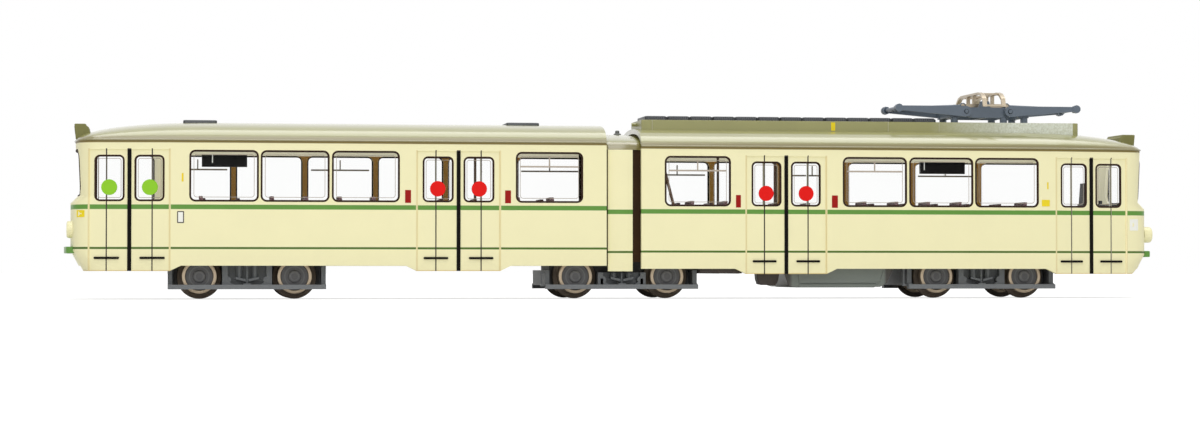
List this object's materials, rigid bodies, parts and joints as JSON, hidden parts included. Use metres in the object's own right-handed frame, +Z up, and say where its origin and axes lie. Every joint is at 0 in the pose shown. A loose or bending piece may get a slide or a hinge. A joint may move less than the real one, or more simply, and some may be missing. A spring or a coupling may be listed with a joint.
{
  "type": "model tram",
  "caption": "Scale model of an articulated tram: two hinged cars with a joint section, swivelling bogies, turning wheelsets and a scissor pantograph that rises.",
  "frame": {"origin": "bottom centre of the bounding box, level with the lowest point of the wheel flanges, on the joint's pivot axis", "axes": "+X towards the driver's end, +Y towards the side without doors, +Z up"},
  "size_m": [0.1238, 0.0148, 0.0236],
  "materials": {
    "cream_paint": "satin moulded and printed plastic",
    "roof_green": "satin olive green",
    "glazing": "clear moulded plastic",
    "chassis_grey": "matt dark grey",
    "seat_red": "matt dark red",
    "bumper_green": "satin green",
    "lamp": "cream rim, clear lens",
    "tail_lamp": "clear red",
    "black": "matt black",
    "joint_brown": "matt dark brown",
    "bogie_grey": "matt grey",
    "wheel": "nickel tyre, dark centre",
    "panto_grey": "satin blue grey",
    "panto_head": "dull nickel brass",
    "motor_metal": "cast metal",
    "case_grey": "matt blue grey"
  },
  "bodies": {
    "front_car": {"front_car_body": "cream_paint", "front_car_roof": "roof_green", "front_car_glazing": "glazing", "front_car_floor": "chassis_grey", "front_car_seats": "seat_red", "front_bumper": "bumper_green", "headlamps": "lamp", "front_destination_box": "roof_green", "roof_casing": "roof_green", "roof_resistors": "black", "drivers_place": "black", "cab_bulkhead": "seat_red", "front_line_sign": "black", "motor_block": "motor_metal", "underfloor_case": "case_grey", "battery_box": "black", "pantograph_base": "panto_grey"},
    "joint_section": {"joint_inner_wall": "joint_brown", "joint_side_panels": "cream_paint", "joint_roof": "roof_green", "joint_floor": "joint_brown", "joint_roof_knob": "black"},
    "rear_car": {"rear_car_body": "cream_paint", "rear_car_roof": "roof_green", "rear_car_glazing": "glazing", "rear_car_floor": "chassis_grey", "rear_car_seats": "seat_red", "rear_bumper": "bumper_green", "tail_lamps": "tail_lamp", "rear_destination_box": "roof_green", "roof_hatches": "black", "rear_line_sign": "black"},
    "front_bogie": {"front_bogie_block": "black", "front_bogie_frame": "bogie_grey"},
    "front_wheelset_a": {"front_wheelset_a": "wheel"},
    "front_wheelset_b": {"front_wheelset_b": "wheel"},
    "middle_bogie": {"middle_bogie_block": "black", "middle_bogie_frame": "bogie_grey"},
    "middle_wheelset_a": {"middle_wheelset_a": "wheel"},
    "middle_wheelset_b": {"middle_wheelset_b": "wheel"},
    "rear_bogie": {"rear_bogie_block": "black", "rear_bogie_frame": "bogie_grey"},
    "rear_wheelset_a": {"rear_wheelset_a": "wheel"},
    "rear_wheelset_b": {"rear_wheelset_b": "wheel"},
    "pantograph_lower_arm_front": {"pantograph_lower_arm_front": "panto_grey"},
    "pantograph_lower_arm_rear": {"pantograph_lower_arm_rear": "panto_grey"},
    "pantograph_upper_arm_front": {"pantograph_upper_arm_front": "panto_grey"},
    "pantograph_upper_arm_rear": {"pantograph_upper_arm_rear": "panto_grey"},
    "pantograph_head": {"pantograph_head": "panto_head"}
  },
  "joints": [
    {"name": "joint_front", "type": "hinge", "parent": "front_car", "child": "joint_section", "pos_m": [0, 0, 0.006], "axis": [0, 0, 1], "range_deg": [-6.5, 6.5]},
    {"name": "joint_rear", "type": "hinge", "parent": "joint_section", "child": "rear_car", "pos_m": [0, 0, 0.006], "axis": [0, 0, 1], "range_deg": [-6.5, 6.5]},
    {"name": "front_bogie_swivel", "type": "hinge", "parent": "front_car", "child": "front_bogie", "pos_m": [0.0415, 0, 0.0055], "axis": [0, 0, 1], "range_deg": [-8, 8]},
    {"name": "middle_bogie_swivel", "type": "hinge", "parent": "joint_section", "child": "middle_bogie", "pos_m": [0, 0, 0.0055], "axis": [0, 0, 1], "range_deg": [-3, 3]},
    {"name": "rear_bogie_swivel", "type": "hinge", "parent": "rear_car", "child": "rear_bogie", "pos_m": [-0.0415, 0, 0.0055], "axis": [0, 0, 1], "range_deg": [-8, 8]},
    {"name": "front_wheelset_a_spin", "type": "hinge", "parent": "front_bogie", "child": "front_wheelset_a", "pos_m": [0.03632, 0, 0.0025], "axis": [0, 1, 0], "continuous": true},
    {"name": "front_wheelset_b_spin", "type": "hinge", "parent": "front_bogie", "child": "front_wheelset_b", "pos_m": [0.04668, 0, 0.0025], "axis": [0, 1, 0], "continuous": true},
    {"name": "middle_wheelset_a_spin", "type": "hinge", "parent": "middle_bogie", "child": "middle_wheelset_a", "pos_m": [-0.00518, 0, 0.0025], "axis": [0, 1, 0], "continuous": true},
    {"name": "middle_wheelset_b_spin", "type": "hinge", "parent": "middle_bogie", "child": "middle_wheelset_b", "pos_m": [0.00518, 0, 0.0025], "axis": [0, 1, 0], "continuous": true},
    {"name": "rear_wheelset_a_spin", "type": "hinge", "parent": "rear_bogie", "child": "rear_wheelset_a", "pos_m": [-0.04668, 0, 0.0025], "axis": [0, 1, 0], "continuous": true},
    {"name": "rear_wheelset_b_spin", "type": "hinge", "parent": "rear_bogie", "child": "rear_wheelset_b", "pos_m": [-0.03632, 0, 0.0025], "axis": [0, 1, 0], "continuous": true},
    {"name": "pantograph_raise", "type": "hinge", "parent": "front_car", "child": "pantograph_lower_arm_front", "pos_m": [0.0457, 0, 0.02145], "axis": [0, -1, 0], "range_deg": [0, 45]},
    {"name": "pantograph_rear_arm", "type": "hinge", "parent": "front_car", "child": "pantograph_lower_arm_rear", "pos_m": [0.0405, 0, 0.02145], "axis": [0, 1, 0], "range_deg": [0, 45]},
    {"name": "pantograph_front_knee", "type": "hinge", "parent": "pantograph_lower_arm_front", "child": "pantograph_upper_arm_front", "pos_m": [0.05364, 0, 0.0218], "axis": [0, 1, 0], "range_deg": [0, 90]},
    {"name": "pantograph_rear_knee", "type": "hinge", "parent": "pantograph_lower_arm_rear", "child": "pantograph_upper_arm_rear", "pos_m": [0.03256, 0, 0.0218], "axis": [0, -1, 0], "range_deg": [0, 90]},
    {"name": "pantograph_head_level", "type": "hinge", "parent": "pantograph_upper_arm_front", "child": "pantograph_head", "pos_m": [0.0457, 0, 0.02214], "axis": [0, -1, 0], "range_deg": [0, 45]}
  ],
  "couplings": [
    {"joint": "pantograph_rear_arm", "follows": "pantograph_raise", "ratio": 1},
    {"joint": "pantograph_front_knee", "follows": "pantograph_raise", "ratio": 2},
    {"joint": "pantograph_rear_knee", "follows": "pantograph_raise", "ratio": 2},
    {"joint": "pantograph_head_level", "follows": "pantograph_raise", "ratio": 1}
  ]
}
